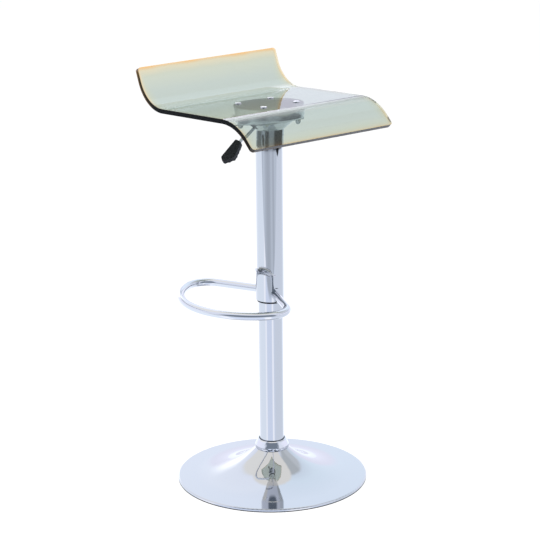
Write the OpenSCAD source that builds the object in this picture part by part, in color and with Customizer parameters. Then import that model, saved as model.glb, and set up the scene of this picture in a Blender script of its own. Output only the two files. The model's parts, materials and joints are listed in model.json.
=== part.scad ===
// Swivel bar stool with a bent clear acrylic seat, a telescopic gas lift column,
// a turning footrest loop and a round trumpet base. The seat is shown at full height.
// The floor is Z = 0, the column stands on the Z axis, and the sitter faces -Y.

/* [Seat sheet] */
// Height of the seat's top face over the floor, on the column's axis
seat_h = 792.5; // [780:0.5:810]
// Width of the seat sheet
seat_w = 352; // [300:2:420]
// Thickness of the acrylic sheet
sheet_t = 9; // [6:0.5:12]
// Length of the flat sitting part, front to back
flat_len = 195; // [180:1:230]
// Distance of the flat part's middle behind the column
flat_shift = 19; // [10:1:24]
// Rise of the flat part towards the front
seat_tilt = 3.2; // [0:0.1:5]
// Outside radius of the front bend
front_bend_r = 104; // [60:1:130]
// Angle that the front bend turns down
front_bend_angle = 47; // [20:1:60]
// Straight length below the front bend
front_lip_len = 22.5; // [12:0.5:60]
// Inside radius of the back bend
back_bend_r = 71; // [40:1:100]
// Angle that the back bend turns up
back_bend_angle = 72; // [40:1:80]
// Straight length above the back bend
back_lip_len = 28.5; // [12:0.5:80]
// Rounding of the sheet's four corners
corner_r = 7; // [3:0.5:11]

/* [Seat mount] */
// Spacing of the four seat bolts, both ways
bolt_pitch = 82; // [80:1:88]
// Distance of the bolt square's middle behind the column
mount_shift = 5; // [3:0.5:7]
// Outside diameter of the round mount dish at its top
dish_d = 140; // [130:1:150]
// Height of the mount dish
dish_h = 19; // [17:0.5:24]
// Side of the square mount plate
plate_w = 104; // [102:1:112]
// Thickness of the mount plate
plate_t = 3; // [2:0.5:4]
// Width across the top of the cone below the plate
cone_top_d = 94; // [88:1:94]
// Height of the cone on the column's axis
cone_h = 16; // [15:0.5:20]

/* [Column] */
// Outside diameter of the fixed lower tube
tube_d = 50; // [46:1:52]
// Wall of the fixed lower tube
tube_wall = 1.5; // [1:0.1:2.5]
// Length of the fixed lower tube
tube_len = 490; // [470:1:492]
// Outside diameter of the sliding sleeve
sleeve_d = 55; // [54:0.5:58]
// Wall of the sliding sleeve
sleeve_wall = 1.4; // [1:0.1:1.6]
// Length of the sliding sleeve
sleeve_len = 355; // [330:1:380]
// Height of the black bush that shows below the sleeve
sleeve_collar_h = 4; // [2:0.5:8]
// Outside diameter of the gas cylinder
cylinder_d = 28; // [26:0.5:30]
// Length of the gas cylinder's straight part
cylinder_len = 478; // [470:1:484]
// Diameter of the piston rod
rod_d = 10; // [8:0.5:12]

/* [Footrest] */
// Outside diameter of the footrest tube
loop_tube_d = 16; // [14:0.5:18]
// Wall of the footrest tube
loop_tube_wall = 1.5; // [1:0.1:2]
// Height of the footrest tube's middle over the sleeve's lower end
loop_rise = 17; // [14:0.5:24]
// Radius of the footrest's broad front curve, at the tube's middle
loop_front_r = 151.5; // [148:0.5:160]
// Radius of the footrest's two corners, at the tube's middle
loop_corner_r = 44; // [36:0.5:50]
// Length of each straight arm from its root beside the column's axis
arm_len = 115.5; // [108:0.5:122]
// Angle between each arm and the footrest's middle line
arm_angle = 65.5; // [62:0.5:68]
// Height of the bracket's tongue on the sleeve
bracket_h = 64; // [50:1:90]
// Thickness of the bracket
bracket_t = 2.5; // [2:0.5:4]

/* [Base] */
// Outside diameter of the base
base_d = 392; // [376:1:420]
// Sheet thickness of the base pressing
shell_wall = 1.5; // [1:0.1:2]
// Height of the base rim over the floor
rim_h = 7; // [6.5:0.5:10]
// Slope of the base's outer disc
disc_slope = 3; // [2:0.1:5]
// Radius of the trumpet's hollow curve
flare_r = 193; // [186:1:198]
// Angle of the trumpet's wall at its neck
neck_angle = 45; // [42:1:48]
// Outside diameter of the trumpet's neck
neck_d = 68; // [66:1:74]
// Outside diameter of the chrome ring on the neck, at its foot
ring_d = 70; // [68:0.5:78]
// Height of the chrome ring
ring_h = 20; // [16:0.5:24]

/* [Lever] */
// Diameter of the lever rod
lever_d = 7; // [6:0.5:8]
// Slope of the lever below the level
lever_slope = 39; // [36:1:42]
// Distance of the grip's upper end from the lever's pivot, along the rod
grip_start = 75; // [66:1:90]
// Length of the grip
grip_len = 53.5; // [46:0.5:66]
// Width of the grip
grip_w = 24; // [20:1:28]

/* [Hidden] */
$fn = 96;
over = 1;          // overrun of every cut
fit = 0.05;        // radial clearance of a running fit
face_gap = 0.3;    // clearance between pieces that turn past each other
seam = 1;          // length that a straight stretch runs into the bend beside it
seam_step = 0.05;  // hair's breadth by which it is slimmer there

// Seat mount, worked out from the top face down
pad_t = 2;
bolt_d = 6;
bolt_hole_gap = 0.5;
bolt_head_d = 13;
bolt_head_t = 1.8;
bolt_head_round = 0.8;
washer_d = 12;
washer_t = 1;
nut_flat = 10;
nut_hex_h = 5;
nut_dome_r = 4.9;
nut_bore_h = 8;
dish_taper = 3;
dish_wall = 1.2;
dish_floor = 1.5;
dish_round = 3;
dish_lip = 5;
plate_corner_r = 8;
pad_w = sheet_t + pad_t;              // depth of the pad's lower face under the seat
dish_w = pad_w + dish_h;              // depth of the dish's lower face
plate_w_low = dish_w + plate_t;       // depth of the plate's lower face
plate_z = seat_h - plate_w_low / cos(seat_tilt);
cone_z = plate_z - cone_h;
cone_wall = 1.5;
cone_low_r = sleeve_d / 2 + cone_wall;
hub_r = 20;
hub_lift = 0.8;
hub_z = cone_z + hub_lift;
hub_top = plate_z + plate_t / 2;
taper_in = 0.5;                       // narrowing of the cylinder's top in the hub

// Column, from the top down
sleeve_gap = 0.5;
sleeve_r = sleeve_d / 2;
sleeve_in = sleeve_r - sleeve_wall;
sleeve_top = cone_z - sleeve_gap;
sleeve_z = sleeve_top - sleeve_len;
tube_r = tube_d / 2;
tube_in = tube_r - tube_wall;
cyl_r = cylinder_d / 2;
cyl_wall = 2;
cyl_in = cyl_r - cyl_wall;
cyl_z = hub_z - cylinder_len;
cyl_top_t = 24;
cyl_end = hub_top - fit;
gland_h = 14;
piston_h = 10;
piston_lift = 2;
piston_groove = 1;
rod_r = rod_d / 2;
top_bush_h = 25;
top_bush_drop = 2;
top_bush_z = sleeve_top - top_bush_drop - top_bush_h;
clip_t = 2;
clip_out = 3.5;
clip_groove = 0.8;
sleeve_bush_h = 30;

// Base, from the floor up
ring_foot_t = 2;
ring_foot_w = 11;
ring_lip_h = 2.5;
ballast_t = 4;
ballast_gap = 8;
socket_wall = 3;
socket_floor = 3;
socket_hole_r = 12;
socket_flange_t = 2.5;
socket_flange_drop = 8;
base_r = base_d / 2;
neck_r = neck_d / 2;
ring_narrow = 5;                      // narrowing of the ring towards its top
ring_edge = 1.5;
ring_band_share = 0.35;               // share of the ring's height below its cone
rim_round = 2.5;
rim_top_r = base_r - rim_round;
flare_x = neck_r + flare_r * sin(neck_angle);
flare_foot_x = flare_x - flare_r * sin(disc_slope);
flare_foot_z = rim_h + (rim_top_r - flare_foot_x) * tan(disc_slope);
flare_z = flare_foot_z + flare_r * cos(disc_slope);
neck_z = flare_z - flare_r * cos(neck_angle);
tube_z = ring_foot_t + socket_floor;
tube_top = tube_z + tube_len;
guide_h = 65;
guide_collar_h = 3;

// Swivel bearing at the foot of the rod
seat_plug_h = 15;
plug_recess_h = 9;
plug_recess_r = 15;
race_t = 2;
race_r = 16;
race_bore_gap = 2;
ball_d = 3;
ball_count = 12;
ball_ring_r = 11;
ball_lift = 0.1;
cage_t = 1.2;
cage_w = 7;
spigot_r = 4;
spigot_end = 6;
bump_h = 15;
bump_r = 13;
rod_washer_t = 1;
rod_washer_r = 10;
rod_clip_t = 1.2;
rod_clip_r = 8;
rod_clip_groove = 0.7;
washer_gap = 0.1;
plug_top = tube_z + seat_plug_h;
ball_z = plug_top + race_t + ball_d / 2;
upper_race_z = ball_z + ball_d / 2 + ball_lift;
shoulder_z = upper_race_z + race_t;
rod_washer_z = tube_z + plug_recess_h - washer_gap - rod_washer_t;
rod_clip_z = rod_washer_z - rod_clip_t;

// Footrest, in its own plane: a along its middle line, b across it
arm_root_a = 1.8;
arm_root_b = 7.3;
loop_r = loop_tube_d / 2;
loop_in = loop_r - loop_tube_wall;
loop_z = sleeve_z + loop_rise;
arm_end_a = arm_root_a + arm_len * cos(arm_angle);
arm_end_b = arm_root_b + arm_len * sin(arm_angle);
corner_a = arm_end_a + loop_corner_r * sin(arm_angle);
corner_b = arm_end_b - loop_corner_r * cos(arm_angle);
corner_reach = loop_front_r - loop_corner_r;
front_a = corner_a - sqrt(pow(corner_reach, 2) - pow(corner_b, 2));
front_half_angle = atan2(corner_b, corner_a - front_a);
corner_turn = 90 + arm_angle - front_half_angle;
bracket_r = sleeve_r + bracket_t;
tongue_half_angle = 60;
band_half_angle = 84;
band_over = 3;
band_h = loop_tube_d + 2 * band_over;
tongue_round = 12;
tongue_lip_h = 3;
tongue_lip_t = 1.2;

// Lever, in the plane Y = 0
valve_r = 3;
valve_out = 6.5;
valve_len = 26;
valve_travel_room = 4;
valve_top = hub_top + valve_out;
lever_gap = 0.2;
lever_r = lever_d / 2;
pivot_x = -15.5;
pivot_z = valve_top + lever_gap + lever_r;
lever_inner = 19.5;
pin_r = 1.5;
ear_t = 1.5;
ear_w = 8;
ear_gap = 0.7;
ear_base_t = 1.5;
ear_over = 3;
window_up = 6.5;
window_down = 3;
window_side = 2;
window_from = 8;
window_to = 48;
grip_hold = 28;
grip_roll = 20;                       // turn of the grip about its rod, near side down
grip_root_h = 10;
grip_t = 12;
grip_root_w = 15;
grip_top = 5;
grip_far = 8.5;                       // distance of the straight far side from the rod's middle
grip_round = 4;
grip_belly_r = 9;                     // rounding where the near side is widest
grip_belly_x = 33;
grip_root_round = 2.5;
scallop_r = 5;
scallop_depth = 1.6;
scallop_pitch = 8.5;
scallop_count = 5;
scallop_start = 15;

chrome = "silver";
steel = "slategray";
black = "#202022";
acrylic = "#b9c4b4";

// Places children in the seat's own tilted frame: its zero is the seat's top face on the axis
module seat_frame() {
    translate([0, 0, seat_h]) rotate([-seat_tilt, 0, 0]) children();
}

// Turns a section drawn as (front to back, up) so that its length runs across the seat
module across_seat() {
    rotate([90, 0, 90]) children();
}

// Places children at the four seat bolts
module at_bolts() {
    for (sx = [-1, 1], sy = [-1, 1])
        translate([sx * bolt_pitch / 2, mount_shift + sy * bolt_pitch / 2, 0]) children();
}

// A plain ring: inner radius, outer radius, height
module tube(r_in, r_out, h) {
    difference() {
        cylinder(r = r_out, h = h);
        translate([0, 0, -over]) cylinder(r = r_in, h = h + 2 * over);
    }
}

// A rectangle about the origin with rounded corners
module round_rect(w, d, r) {
    square([w - 2 * r, d], center = true);
    square([w, d - 2 * r], center = true);
    for (sx = [-1, 1], sy = [-1, 1])
        translate([sx * (w / 2 - r), sy * (d / 2 - r)]) circle(r = r);
}

// A slice of a flat ring, from the x axis up to an angle below 90 degrees
module ring_slice(r_in, r_out, angle) {
    reach = 2 * r_out;
    intersection() {
        difference() {
            circle(r = r_out, $fn = 180);
            circle(r = r_in, $fn = 180);
        }
        polygon([[0, 0], [reach, 0], [reach * cos(angle), reach * sin(angle)]]);
    }
}

// Section of the bent sheet: x is the distance behind the column, y the height
module sheet_section() {
    front_y = flat_shift - flat_len / 2;
    back_y = flat_shift + flat_len / 2;
    translate([front_y, -sheet_t]) square([flat_len, sheet_t]);
    translate([back_y, back_bend_r]) rotate(-90) {
        ring_slice(back_bend_r, back_bend_r + sheet_t, back_bend_angle);
        rotate(back_bend_angle) lip_section(back_bend_r, back_lip_len);
    }
    translate([front_y, -front_bend_r]) rotate(90) {
        ring_slice(front_bend_r - sheet_t, front_bend_r, front_bend_angle);
        rotate(front_bend_angle) lip_section(front_bend_r - sheet_t, front_lip_len);
    }
}

// Straight lip that carries on from a bend
module lip_section(r_low, len) {
    translate([r_low + seam_step, -seam]) square([sheet_t - 2 * seam_step, len + seam]);
}

// Cuts the two square corners off a lip whose end is at y = len
module lip_corners(r_low, len) {
    for (side = [-1, 1]) translate([r_low, len - corner_r, side * (seat_w / 2 - corner_r)])
        difference() {
            translate([-over, 0, side > 0 ? 0 : -corner_r - over])
                cube([sheet_t + 2 * over, corner_r + over, corner_r + over]);
            translate([-2 * over, 0, 0]) rotate([0, 90, 0])
                cylinder(r = corner_r, h = sheet_t + 4 * over, $fn = 48);
        }
}

module seat_sheet() {
    color(acrylic, 0.5) seat_frame() difference() {
        across_seat() linear_extrude(height = seat_w, center = true) sheet_section();
        across_seat() translate([flat_shift + flat_len / 2, back_bend_r, 0])
            rotate([0, 0, back_bend_angle - 90]) lip_corners(back_bend_r, back_lip_len);
        across_seat() translate([flat_shift - flat_len / 2, -front_bend_r, 0])
            rotate([0, 0, 90 + front_bend_angle])
                lip_corners(front_bend_r - sheet_t, front_lip_len);
        at_bolts() translate([0, 0, -sheet_t - over])
            cylinder(r = bolt_d / 2 + bolt_hole_gap, h = sheet_t + 2 * over, $fn = 32);
    }
}

// Low round-edged heads on top of the sheet, shanks down into the cap nuts
module seat_bolts() {
    shank = plate_w_low + washer_t + nut_bore_h - over;
    color(chrome) seat_frame() at_bolts() {
        translate([0, 0, -shank]) cylinder(r = bolt_d / 2, h = shank + bolt_head_t / 2, $fn = 32);
        rotate_extrude($fn = 48) {
            square([bolt_head_d / 2 - bolt_head_round, bolt_head_t]);
            square([bolt_head_d / 2, bolt_head_t - bolt_head_round]);
            translate([bolt_head_d / 2 - bolt_head_round, bolt_head_t - bolt_head_round])
                circle(r = bolt_head_round, $fn = 24);
        }
    }
}

// Thin rubber disc between the dish and the acrylic
module seat_pad() {
    color(black) seat_frame() difference() {
        translate([0, 0, -pad_w]) cylinder(d = dish_d, h = pad_t);
        at_bolts() translate([0, 0, -pad_w - over])
            cylinder(r = bolt_d / 2 + bolt_hole_gap, h = pad_t + 2 * over, $fn = 32);
    }
}

// Half section of a pressed dish with sloping sides and a rounded foot
module dish_section(r_low, r_high, h, r_foot) {
    lean = atan2(r_high - r_low, h);
    foot_x = r_low - r_foot * (1 - sin(lean)) / cos(lean);
    translate([foot_x, r_foot]) circle(r = r_foot, $fn = 48);
    polygon([[0, 0], [foot_x, 0], [foot_x + r_foot * cos(lean), r_foot - r_foot * sin(lean)],
        [r_high, h], [0, h]]);
}

module mount_dish() {
    r_high = dish_d / 2;
    r_low = r_high - dish_taper;
    color(chrome) difference() {
        seat_frame() translate([0, 0, -dish_w]) difference() {
            rotate_extrude() difference() {
                dish_section(r_low, r_high, dish_h, dish_round);
                translate([0, dish_floor]) dish_section(r_low - dish_wall, r_high - dish_wall,
                    dish_h - dish_floor - dish_wall, dish_round - dish_wall);
                translate([-over, dish_h / 2]) square([r_high - dish_lip + over, dish_h]);
            }
            at_bolts() translate([0, 0, -over])
                cylinder(r = bolt_d / 2 + bolt_hole_gap / 2, h = dish_floor + 2 * over, $fn = 32);
        }
        translate([0, 0, hub_z]) cylinder(r = hub_r, h = dish_w);
        lever_window();
    }
}

// Slot through dish, plate and cone in which the lever swings
module lever_window() {
    translate([pivot_x, 0, pivot_z]) rotate([0, 180 - lever_slope, 0])
        translate([window_from, -lever_r - window_side, -lever_r - window_up])
            cube([window_to - window_from, lever_d + 2 * window_side,
                lever_d + window_up + window_down]);
}

module mount_plate() {
    color(chrome) difference() {
        seat_frame() translate([0, 0, -plate_w_low]) difference() {
            translate([0, mount_shift, 0]) linear_extrude(height = plate_t)
                round_rect(plate_w, plate_w, plate_corner_r);
            at_bolts() translate([0, 0, -over])
                cylinder(r = bolt_d / 2 + bolt_hole_gap / 2, h = plate_t + 2 * over, $fn = 32);
        }
        translate([0, 0, hub_z]) cylinder(r = hub_r, h = dish_w);
        lever_window();
    }
}

// Pressed cone that closes the gap between the plate and the sleeve's top
module mount_cone() {
    top_h = cone_h + plate_w * tan(seat_tilt) + over;
    flare = (cone_top_d / 2 - cone_low_r) / cone_h;
    top_r = cone_low_r + flare * top_h;
    color(chrome) difference() {
        translate([0, 0, cone_z]) rotate_extrude() difference() {
            polygon([[hub_r, 0], [cone_low_r, 0], [top_r, top_h], [hub_r, top_h]]);
            polygon([[hub_r - over, cone_wall], [cone_low_r - cone_wall / 2, cone_wall],
                [top_r - cone_wall, top_h + over], [hub_r - over, top_h + over]]);
        }
        seat_frame() translate([-plate_w, -plate_w, -plate_w_low])
            cube([2 * plate_w, 2 * plate_w, plate_w]);
        translate([0, 0, cone_z - over]) cylinder(r = hub_r, h = hub_lift + over);
        lever_window();
    }
}

module plate_washers() {
    color(chrome) seat_frame() at_bolts() translate([0, 0, -plate_w_low - washer_t])
        difference() {
            cylinder(d = washer_d, h = washer_t, $fn = 48);
            translate([0, 0, -over]) cylinder(r = bolt_d / 2 + bolt_hole_gap / 2,
                h = washer_t + 2 * over, $fn = 32);
        }
}

// Domed nuts on the bolts' lower ends
module cap_nuts() {
    color(chrome) seat_frame() at_bolts() translate([0, 0, -plate_w_low - washer_t])
        mirror([0, 0, 1]) difference() {
            union() {
                cylinder(r = nut_flat / 2 / cos(30), h = nut_hex_h, $fn = 6);
                intersection() {
                    translate([0, 0, nut_hex_h]) sphere(r = nut_dome_r, $fn = 48);
                    cylinder(r = nut_flat, h = nut_hex_h + nut_flat);
                }
            }
            translate([0, 0, -over]) cylinder(r = bolt_d / 2, h = nut_bore_h + over, $fn = 32);
        }
}

// Turned bush with a tapered bore that grips the gas cylinder's top
module taper_hub() {
    color(steel) translate([0, 0, hub_z]) rotate_extrude() {
        h = hub_top - hub_z;
        polygon([[cyl_r, 0], [hub_r, 0], [hub_r, h], [cyl_r - taper_in, h]]);
    }
}

// U-shaped carrier of the lever's pivot, on top of the hub
module pivot_bracket() {
    inside = lever_r + ear_gap;
    top = pivot_z + ear_over - hub_top;
    color(steel) translate([pivot_x, 0, hub_top]) difference() {
        union() {
            translate([-ear_w / 2, -inside - ear_t, 0])
                cube([ear_w, 2 * (inside + ear_t), ear_base_t]);
            for (side = [-1, 1])
                translate([-ear_w / 2, side > 0 ? inside : -inside - ear_t, 0])
                    cube([ear_w, ear_t, top]);
        }
        translate([0, 0, pivot_z - hub_top]) rotate([90, 0, 0])
            cylinder(r = pin_r, h = 4 * inside, center = true, $fn = 32);
    }
}

module pivot_pin() {
    half = lever_r + ear_gap + ear_t + ear_gap;
    color(steel) translate([pivot_x, 0, pivot_z]) rotate([90, 0, 0])
        cylinder(r = pin_r, h = 2 * half, center = true, $fn = 32);
}

// Places children on the lever: x runs out along the rod, z points to its underside
module lever_frame() {
    translate([pivot_x, 0, pivot_z]) rotate([0, 180 - lever_slope, 0]) children();
}

// Bent steel rod: a level inner arm over the valve pin, a sloping outer arm
module lever_rod() {
    color(chrome) difference() {
        union() {
            translate([pivot_x, 0, pivot_z]) {
                rotate([0, 90, 0]) cylinder(r = lever_r, h = lever_inner, $fn = 48);
                sphere(r = lever_r, $fn = 48);
            }
            lever_frame() rotate([0, 90, 0])
                cylinder(r = lever_r, h = grip_start + grip_hold, $fn = 48);
        }
        translate([pivot_x, 0, pivot_z]) rotate([90, 0, 0])
            cylinder(r = pin_r + fit, h = 4 * lever_r, center = true, $fn = 32);
    }
}

// Side view of the grip: flat on top, scalloped below for the fingers
module grip_side() {
    low = grip_t - grip_top;
    root_low = grip_root_h - grip_top;
    difference() {
        union() {
            polygon([[0, -grip_top], [grip_len - grip_round, -grip_top],
                [grip_len, grip_round - grip_top], [grip_len, low - grip_round],
                [grip_len - grip_round, low], [scallop_start, low], [0, root_low]]);
            translate([grip_len - grip_round, grip_round - grip_top])
                circle(r = grip_round, $fn = 48);
            translate([grip_len - grip_round, low - grip_round])
                circle(r = grip_round, $fn = 48);
        }
        for (i = [0 : scallop_count - 1])
            translate([scallop_start + i * scallop_pitch, low + scallop_r - scallop_depth])
                circle(r = scallop_r, $fn = 48);
    }
}

// Points where a line drawn anticlockwise round circles, each [x, y, radius], touches them
function round_about(c) = [for (i = [0 : len(c) - 1]) let (p = c[i], q = c[(i + 1) % len(c)],
    dx = q[0] - p[0], dy = q[1] - p[1],
    turn = atan2(dy, dx) - acos((p[2] - q[2]) / sqrt(dx * dx + dy * dy)))
    each [[p[0] + p[2] * cos(turn), p[1] + p[2] * sin(turn)],
        [q[0] + q[2] * cos(turn), q[1] + q[2] * sin(turn)]]];

// Plan of the grip: straight on the far side, bellied on the near side, narrow at the rod
module grip_plan() {
    near = grip_far - grip_w;
    root_near = grip_far - grip_root_w;
    corners = [[grip_root_round, root_near + grip_root_round, grip_root_round],
        [grip_belly_x, near + grip_belly_r, grip_belly_r],
        [grip_len - grip_round, 0, grip_round],
        [grip_len - 2 * grip_round, grip_far - grip_round, grip_round],
        [grip_root_round, grip_far - grip_root_round, grip_root_round]];
    polygon(round_about(corners));
    for (c = corners) translate([c[0], c[1]]) circle(r = c[2] - seam_step, $fn = 48);
}

module lever_grip() {
    color(black) lever_frame() translate([grip_start, 0, 0]) difference() {
        rotate([-grip_roll, 0, 0]) intersection() {
            rotate([90, 0, 0]) linear_extrude(height = 4 * grip_w, center = true) grip_side();
            translate([0, 0, -grip_t]) linear_extrude(height = 2 * grip_t) grip_plan();
        }
        translate([-over, 0, 0]) rotate([0, 90, 0])
            cylinder(r = lever_r, h = grip_hold + over, $fn = 48);
    }
}

// Release pin of the gas spring, with a round top under the lever
module valve_pin() {
    color(steel) {
        translate([0, 0, valve_top - valve_len])
            cylinder(r = valve_r, h = valve_len - valve_r, $fn = 48);
        translate([0, 0, valve_top - valve_r]) sphere(r = valve_r, $fn = 48);
    }
}

// Cylinder of the gas spring: straight wall, tapered and closed top
module gas_cylinder() {
    body_h = hub_z - cyl_z;
    end_h = cyl_end - cyl_z;
    hole_z = valve_top - valve_len - valve_travel_room - cyl_z;
    color(steel) translate([0, 0, cyl_z]) difference() {
        rotate_extrude() {
            difference() {
                polygon([[0, 0], [cyl_r, 0], [cyl_r, body_h], [cyl_r - taper_in, end_h],
                    [0, end_h]]);
                translate([-over, -over]) square([cyl_in + over, body_h - cyl_top_t + over]);
            }
        }
        translate([0, 0, hole_z]) cylinder(r = valve_r + fit, h = end_h, $fn = 48);
        translate([0, 0, top_bush_z - clip_t - face_gap - cyl_z])
            tube(cyl_r - clip_groove, cyl_r + over, clip_t);
    }
}

// Rod guide in the cylinder's lower end
module cylinder_gland() {
    color(black) translate([0, 0, cyl_z]) tube(rod_r + fit, cyl_in, gland_h);
}

// Snap ring on the cylinder that carries the sleeve
module sleeve_clip() {
    color(steel) translate([0, 0, top_bush_z - clip_t - face_gap])
        tube(cyl_r - clip_groove, cyl_r + clip_out, clip_t);
}

// Plastic bush in the sleeve's top, turning on the cylinder
module sleeve_top_bush() {
    color(black) translate([0, 0, top_bush_z]) tube(cyl_r + fit, sleeve_in, top_bush_h);
}

module sleeve_tube() {
    color(chrome) translate([0, 0, sleeve_z]) tube(sleeve_in, sleeve_r, sleeve_len);
}

// Plastic bush in the sleeve's lower end, sliding on the fixed tube
module sleeve_bush() {
    color(black) translate([0, 0, sleeve_z]) {
        tube(tube_r + fit, sleeve_in, sleeve_bush_h);
        translate([0, 0, -sleeve_collar_h]) tube(tube_r + fit, sleeve_r, sleeve_collar_h);
    }
}

// Front view of the bracket: a tongue with a round top over a wider band for the arms
module bracket_face() {
    tongue_w = 2 * bracket_r * sin(tongue_half_angle);
    translate([0, bracket_h / 2 - tongue_round])
        round_rect(tongue_w + bracket_t, bracket_h + 2 * tongue_round, tongue_round);
    translate([-2 * bracket_r, loop_rise - band_h / 2]) square([4 * bracket_r, band_h]);
}

// Curved plate on the sleeve, with a thicker upper edge
module footrest_bracket() {
    lip_z = bracket_h - tongue_lip_h;
    lip_r = bracket_r + tongue_lip_t;
    edge_x = sleeve_r * cos(band_half_angle);
    color(chrome) translate([0, 0, sleeve_z]) intersection() {
        rotate_extrude() polygon([[sleeve_r, 0], [bracket_r, 0], [bracket_r, lip_z],
            [lip_r, lip_z], [lip_r, bracket_h], [sleeve_r, bracket_h]]);
        translate([-edge_x, 0, 0]) rotate([90, 0, -90])
            linear_extrude(height = 2 * bracket_r) bracket_face();
    }
}

// Half of the footrest's run, as a round bar of the given radius
module loop_half(r) {
    translate([arm_root_a, arm_root_b, 0]) rotate([0, 0, arm_angle]) rotate([0, 90, 0])
        cylinder(r = r - seam_step, h = arm_len + seam, $fn = 48);
    translate([corner_a, corner_b, 0]) rotate([0, 0, front_half_angle])
        rotate_extrude(angle = corner_turn, $fn = 96)
            translate([loop_corner_r, 0]) circle(r = r, $fn = 48);
}

// Broad front curve, running a little into both corners
module loop_front(r) {
    half = front_half_angle + seam / loop_front_r * 180 / PI;
    translate([front_a, 0, 0]) rotate([0, 0, -half]) rotate_extrude(angle = 2 * half, $fn = 128)
        translate([loop_front_r, 0]) circle(r = r - seam_step, $fn = 48);
}

// The footrest's whole run as a round bar of the given radius
module loop_bar(r) {
    loop_half(r);
    mirror([0, 1, 0]) loop_half(r);
    loop_front(r);
}

// Bent tube with two arms, two corners and a broad front, cut to sit on the bracket
module footrest_loop() {
    color(chrome) translate([0, 0, loop_z]) rotate([0, 0, 180]) difference() {
        loop_bar(loop_r);
        loop_bar(loop_in);
        cylinder(r = bracket_r, h = 4 * loop_r, center = true);
    }
}

// Plastic bush in the fixed tube's top that guides the gas cylinder
module guide_bush() {
    color(black) translate([0, 0, tube_top - guide_h]) {
        tube(cyl_r + fit, tube_in, guide_h);
        translate([0, 0, guide_h]) tube(cyl_r + fit, tube_r, guide_collar_h);
    }
}

module lower_tube() {
    color(chrome) translate([0, 0, tube_z]) tube(tube_in, tube_r, tube_len);
}

// Grooved piston on the rod's upper end
module piston() {
    color(black) translate([0, 0, cyl_z + gland_h + piston_lift]) difference() {
        tube(spigot_r, cyl_in - fit, piston_h);
        translate([0, 0, piston_h / 3])
            tube(cyl_in - fit - piston_groove, cyl_in + over, piston_h / 3);
    }
}

// Rod of the gas spring, with a spigot at each end
module piston_rod() {
    top = cyl_z + gland_h + piston_lift;
    color(chrome) difference() {
        union() {
            translate([0, 0, shoulder_z]) cylinder(r = rod_r, h = top - shoulder_z, $fn = 48);
            translate([0, 0, tube_z + spigot_end - rod_clip_t])
                cylinder(r = spigot_r, h = top + piston_h - tube_z - spigot_end + rod_clip_t,
                    $fn = 48);
        }
        translate([0, 0, rod_clip_z]) tube(spigot_r - rod_clip_groove, spigot_r + over, rod_clip_t);
    }
}

module bump_stop() {
    color(black) translate([0, 0, shoulder_z]) tube(rod_r, bump_r, bump_h);
}

module upper_race() {
    color(steel) translate([0, 0, upper_race_z]) tube(spigot_r, race_r, race_t);
}

module bearing_balls() {
    color(chrome) for (i = [0 : ball_count - 1])
        rotate([0, 0, i * 360 / ball_count]) translate([ball_ring_r, 0, ball_z])
            sphere(d = ball_d, $fn = 24);
}

module bearing_cage() {
    color("peru") translate([0, 0, ball_z - cage_t / 2]) difference() {
        tube(ball_ring_r - cage_w / 2, ball_ring_r + cage_w / 2, cage_t);
        for (i = [0 : ball_count - 1])
            rotate([0, 0, i * 360 / ball_count]) translate([ball_ring_r, 0, -over])
                cylinder(r = ball_d / 2 + fit, h = cage_t + 2 * over, $fn = 24);
    }
}

module lower_race() {
    color(steel) translate([0, 0, plug_top]) tube(spigot_r + race_bore_gap, race_r, race_t);
}

// Steel plug in the tube's foot that carries the bearing
module thrust_seat() {
    color(steel) translate([0, 0, tube_z]) difference() {
        cylinder(r = tube_in, h = seat_plug_h);
        translate([0, 0, -over]) {
            cylinder(r = plug_recess_r, h = plug_recess_h + over);
            cylinder(r = spigot_r + fit, h = seat_plug_h + 2 * over, $fn = 48);
        }
    }
}

module rod_washer() {
    color(steel) translate([0, 0, rod_washer_z]) tube(spigot_r, rod_washer_r, rod_washer_t);
}

module rod_clip() {
    color(steel) translate([0, 0, rod_clip_z])
        tube(spigot_r - rod_clip_groove, rod_clip_r, rod_clip_t);
}

// Chrome ring around the tube on the trumpet's neck: an upright band below, a cone above
module base_ring() {
    foot = ring_d / 2;
    top = foot - ring_narrow;
    color(chrome) translate([0, 0, neck_z]) rotate_extrude() polygon([[tube_r, 0],
        [foot - ring_edge, 0], [foot, ring_edge], [foot, ring_h * ring_band_share],
        [top, ring_h - ring_edge], [top - ring_edge, ring_h], [tube_r, ring_h]]);
}

// Half outline under the base's outer face, or under its inner face when inset by a wall
module base_outline(inset) {
    r = flare_r + inset;
    edge_r = base_r - inset;
    round_r = rim_round > inset ? rim_round - inset : 0;
    difference() {
        union() {
            polygon([[0, -over], [edge_r, -over], [edge_r, rim_h - rim_round],
                [rim_top_r + inset * sin(disc_slope), rim_h - inset * cos(disc_slope)],
                [flare_foot_x + inset * sin(disc_slope), flare_foot_z - inset * cos(disc_slope)],
                [flare_x - r * sin(neck_angle), neck_z],
                [0, neck_z]]);
            if (round_r > 0)
                translate([rim_top_r, rim_h - rim_round]) circle(r = round_r, $fn = 48);
        }
        translate([flare_x, flare_z]) circle(r = r, $fn = 256);
    }
}

// Trumpet-shaped pressing with a turned-down rim
module base_shell() {
    color(chrome) rotate_extrude($fn = 180) difference() {
        intersection() {
            base_outline(0);
            translate([0, ring_foot_t]) square([base_r, neck_z - ring_foot_t]);
        }
        base_outline(shell_wall);
        square([neck_r - 2 * shell_wall, neck_z + over]);
    }
}

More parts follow.
